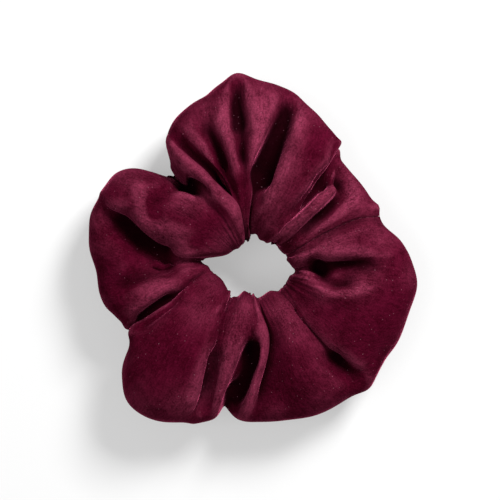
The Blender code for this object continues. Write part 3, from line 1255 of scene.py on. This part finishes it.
@dataclass(frozen=True)
class Velvet:
    """Deep burgundy velvet, whose pile is brushed this way and that.

    Attributes:
        sunk: Painted shade: the colour in the hollows of the folds.
        deep: Colour looking into the pile.
        brushed: Colour where the pile lies over and shows its side.
        open: Painted highlight: the colour on the ridges and edges of the folds.
        lint: Colour of the few pale specks that cling to it.
        sheen: Tint of the sheen at the edges of the folds.
    """

    # Painted shade in the hollows of the folds.
    sunk: Colour = colour(0.0040, 0.0003, 0.0008)
    deep: Colour = colour(0.022, 0.0006, 0.0036)
    brushed: Colour = colour(0.060, 0.0024, 0.0122)
    # Painted highlight on the ridges and edges of the folds.
    open: Colour = colour(0.205, 0.0290, 0.0640)
    lint: Colour = colour(0.30, 0.13, 0.17)
    sheen: Colour = colour(1.0, 0.14, 0.32)

    def material(self) -> bpy.types.Material:
        """The material, which paints highlight on the ridges and edges of the tube's folds, shade
        in their hollows and light on the listed spots, all read from the tube's attributes.
        """
        nodes = Nodes("velvet")
        shader = nodes.shader
        place = nodes.placed("Object", (1, 1, 1))
        cloth = nodes.placed("UV", (1, 1, 1))
        strokes = nodes.placed("UV", (1100, 380, 1))
        swell, edge = nodes.attribute("swell"), nodes.attribute("edge")
        # How far the pile lies over: in wide patches, in small ones, in strokes and by tufts.
        patches = nodes.noise(place, 70, 3, 0.6)
        clouds = nodes.noise(place, 260, 3, 0.8)
        brush = nodes.noise(strokes, 1.0, 2, 0.4)
        grain = nodes.noise(place, 1800, 3)
        nap = patches.between(0.33, 0.68) * 0.34 + clouds.between(0.28, 0.74) * 0.26
        nap = nap + brush.between(0.34, 0.72) * 0.30 + grain.between(0.33, 0.71) * 0.44 - 0.22
        tone = nodes.blend(nap, self.deep, self.brushed)
        # Painted highlight on the ridges and edges of the folds, and painted light, with pile
        # brushed lighter, on the listed spots.
        ridge = swell.between(0.5, 3.6) * 0.16 + edge.between(0.10, 0.48) * 0.46
        ridge = (ridge + nodes.attribute("stroked") * 0.50) * (0.26 + nap * 0.90)
        tone = nodes.blend(ridge, tone, self.open)
        # Painted shade in the hollows of the folds.
        hollow = 1 - swell.between(-2.2, 0.4)
        tone = nodes.blend(hollow * 0.93, tone, self.sunk)
        specks = nodes.noise(cloth, 1500, 0).between(0.80, 0.86)
        shader.inputs["Roughness"].default_value = 0.9
        shader.inputs["Specular IOR Level"].default_value = 0.0
        shader.inputs["Sheen Weight"].default_value = 0.32
        shader.inputs["Sheen Roughness"].default_value = 0.26
        shader.inputs["Sheen Tint"].default_value = self.sheen
        nodes.feed(shader.inputs["Base Color"], nodes.blend(specks * 0.35, tone, self.lint))
        nodes.bump(brush * 0.45 + grain * 0.35 + clouds * 1.2, 0.30 * MM)
        return nodes.material


@dataclass(frozen=True)
class Yarn:
    """A spun finish, for threads and elastic.

    Attributes:
        name: The material's name.
        dark: Colour between the fibres.
        pale: Colour of the fibres.
        strands: Fibres per metre along and round the piece.
        relief: Height of the fibres.
    """

    name: str
    dark: Colour
    pale: Colour
    strands: tuple[float, float]
    relief: float = 0.05 * MM

    def material(self) -> bpy.types.Material:
        """The material."""
        nodes = Nodes(self.name)
        run = nodes.placed("UV", (*self.strands, 1))
        fibres = nodes.noise(run, 1.0, 2, 0.3)
        soil = nodes.noise(nodes.placed("Object", (1, 1, 1)), 120, 3)
        share = fibres.between(0.3, 0.7) * 0.7 + soil.between(0.3, 0.7) * 0.3
        nodes.feed(nodes.shader.inputs["Base Color"], nodes.blend(share, self.dark, self.pale))
        nodes.feed(nodes.shader.inputs["Roughness"], 0.85 - fibres * 0.2)
        nodes.shader.inputs["Specular IOR Level"].default_value = 0.3
        nodes.bump(fibres, self.relief)
        return nodes.material


COVER_THREAD = Yarn(
    "cover_thread", colour(0.022, 0.0010, 0.0045), colour(0.085, 0.0060, 0.0200), (4000, 1500)
)
ELASTIC_THREAD = Yarn(
    "elastic_thread", colour(0.42, 0.40, 0.36), colour(0.78, 0.76, 0.71), (4000, 1500)
)
BRAID = Yarn(
    "braided_elastic", colour(0.34, 0.32, 0.29), colour(0.66, 0.64, 0.59), (700, 3200)
)


def stage_floor() -> None:
    """The pale floor."""
    deselect_all()
    bpy.ops.mesh.primitive_plane_add(size=10.0)
    floor = bpy.context.active_object
    floor.name = "floor"
    nodes = Nodes("floor")
    nodes.shader.inputs["Base Color"].default_value = colour(0.33, 0.33, 0.33)
    nodes.shader.inputs["Roughness"].default_value = 0.9
    nodes.shader.inputs["Specular IOR Level"].default_value = 0.1
    nodes.shader.inputs["Emission Color"].default_value = colour(1, 1, 1)
    nodes.shader.inputs["Emission Strength"].default_value = 0.40
    floor.data.materials.append(nodes.material)


def light(name: str, place: tuple[float, float, float], size: float, power: float) -> None:
    """A square soft light that faces the scrunchie."""
    data = bpy.data.lights.new(name, "AREA")
    data.shape = "SQUARE"
    data.size = size
    data.energy = power
    obj = bpy.data.objects.new(name, data)
    obj.location = place
    obj.rotation_mode = "QUATERNION"
    obj.rotation_quaternion = Vector(place).to_track_quat("Z", "Y")
    bpy.context.scene.collection.objects.link(obj)


def studio() -> None:
    """Camera and lights."""
    scene = bpy.context.scene
    camera = bpy.data.cameras.new("camera")
    camera.lens = 100
    camera.sensor_width = 36
    seen_width, seen_height = 0.17665, 0.015
    away = seen_width * camera.lens / camera.sensor_width
    obj = bpy.data.objects.new("camera", camera)
    obj.location = (-0.00053, -0.00053, seen_height + away)
    scene.collection.objects.link(obj)
    scene.camera = obj
    world = bpy.data.worlds.new("studio")
    world.use_nodes = True
    world.node_tree.nodes["Background"].inputs["Color"].default_value = (1, 1, 1, 1)
    world.node_tree.nodes["Background"].inputs["Strength"].default_value = 0.36
    scene.world = world
    scene.view_settings.view_transform = "Standard"
    light("key", (0.50, 0.66, 0.75), 0.35, 25.0)
    light("fill", (-0.6, -0.2, 1.0), 0.8, 6.0)


def finish(
    piece: bpy.types.Object, material: bpy.types.Material, body: str, node: str
) -> None:
    """Gives a piece its material and its place in the frame.

    Args:
        piece: The piece.
        material: Its material.
        body: The body it rides on.
        node: The part's node that it takes the place of.
    """
    piece.data.materials.append(material)
    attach(piece, body)
    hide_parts(node)


def main() -> None:
    """Builds the scrunchie and its studio."""
    logging.basicConfig(level=logging.INFO, format="%(message)s")
    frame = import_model()
    deselect_all()
    axis = Vector(next(j for j in frame["joints"] if j["name"] == "elastic_slip")["pos_m"])
    axis.z = 0.0
    cover = VelvetTube(axis)
    tube = cover.build()
    finish(tube, Velvet().material(), "cover", "velvet_cover")
    threads = CoverStitches(cover).build()
    sewing = COVER_THREAD.material()
    for piece in threads:
        finish(piece, sewing, "cover", piece.name.replace("stitches", "thread"))
    band, *zigzags = ElasticLoop(axis).build()
    finish(band, BRAID.material(), "elastic", "elastic_band")
    sewing = ELASTIC_THREAD.material()
    for piece in zigzags:
        finish(piece, sewing, "elastic", piece.name.replace("zigzag", "thread"))
    stage_floor()
    studio()


if __name__ == "__main__":
    main()
